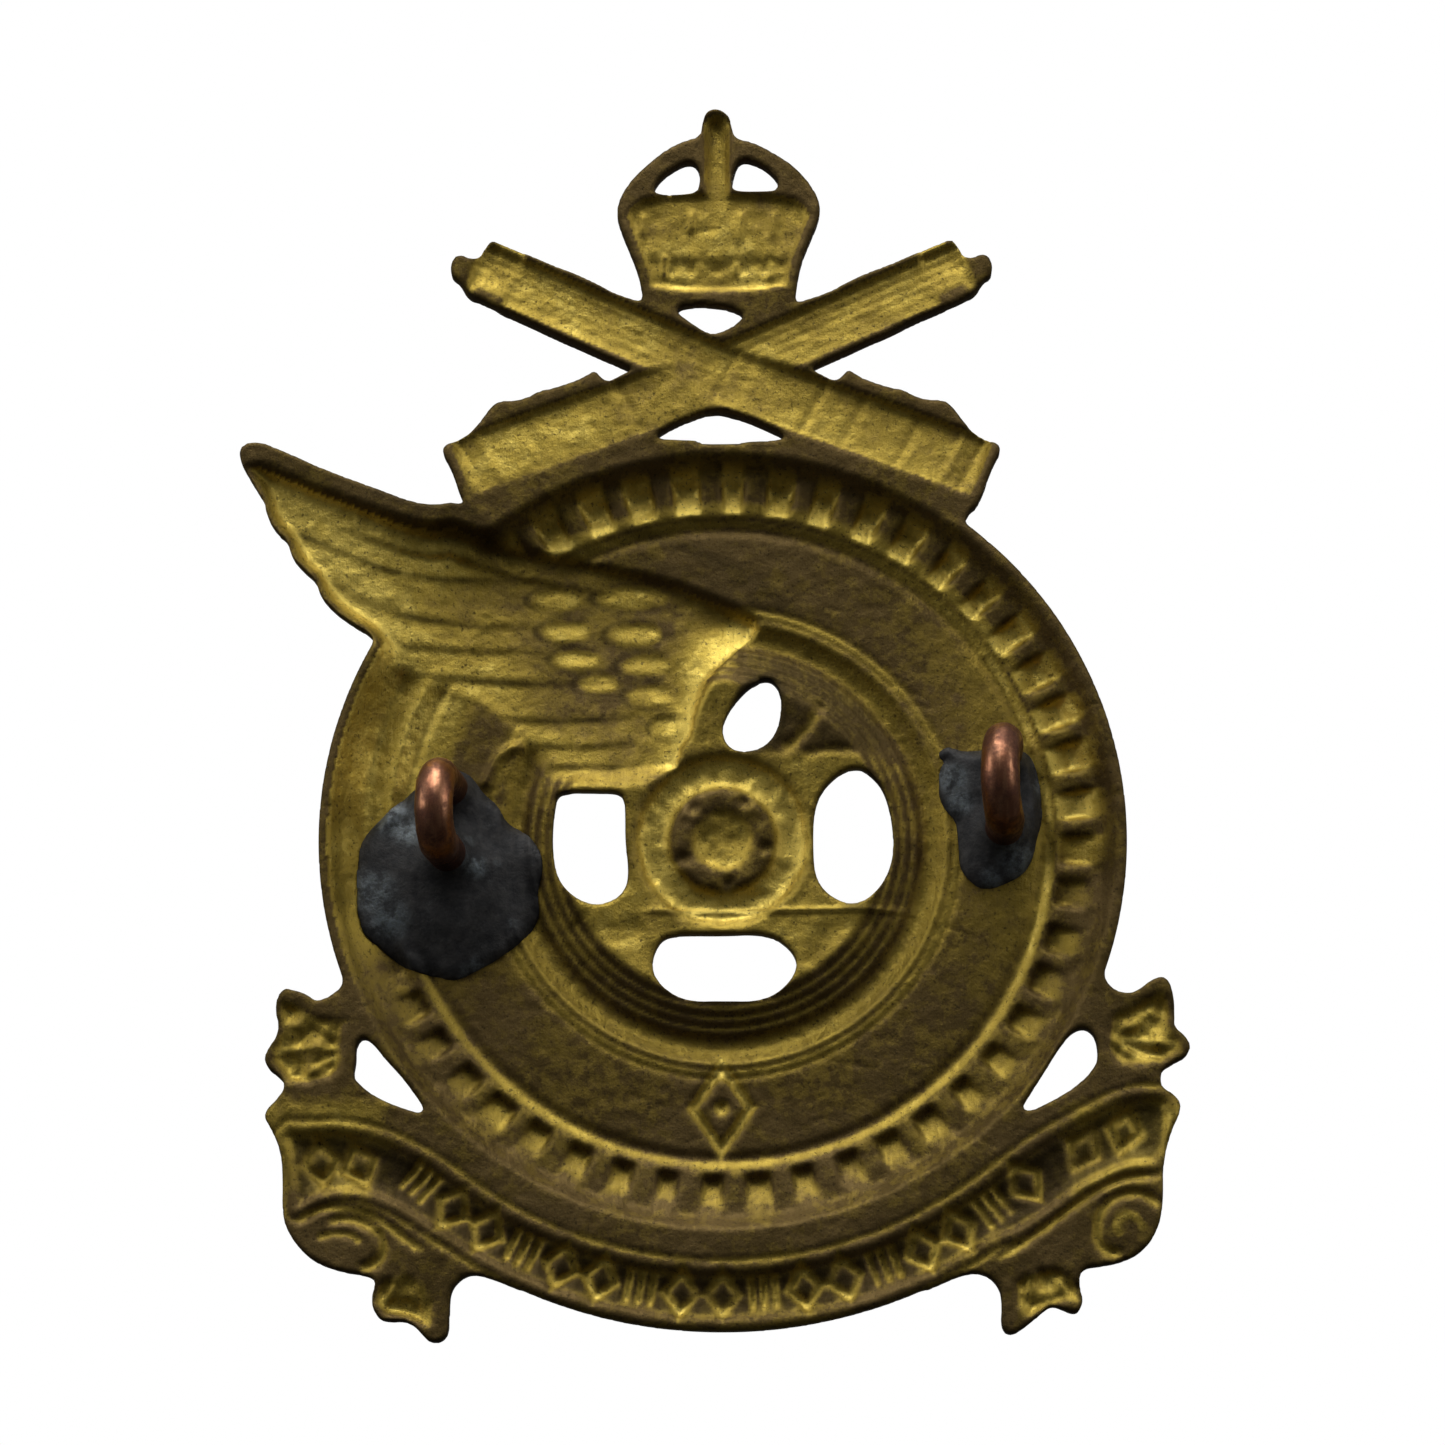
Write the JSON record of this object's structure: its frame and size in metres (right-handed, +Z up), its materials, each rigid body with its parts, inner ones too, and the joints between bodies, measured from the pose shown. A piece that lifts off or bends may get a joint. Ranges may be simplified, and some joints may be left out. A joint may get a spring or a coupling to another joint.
{
  "type": "cap badge",
  "caption": "Struck brass cap badge: winged wheel, crossed guns, crown and scroll, with two wire loops soldered on its hollow back.",
  "frame": {"origin": "middle of the wheel, in the plane on which the plate's back edge rests, about midway between the two loops", "axes": "+Z up the badge to the crown, +Y out of the hollow back towards the cap, +X to the right seen from the front"},
  "size_m": [0.0399, 0.0074, 0.0527],
  "materials": {
    "brass": "aged brass, brown in the recesses and polished on the raised edges",
    "copper": "tarnished copper wire",
    "solder": "blue-black tarnished soft solder"
  },
  "bodies": {
    "root": {"badge_plate": "brass", "loop_left": "copper", "loop_right": "copper", "solder_left": "solder", "solder_right": "solder"}
  },
  "joints": []
}
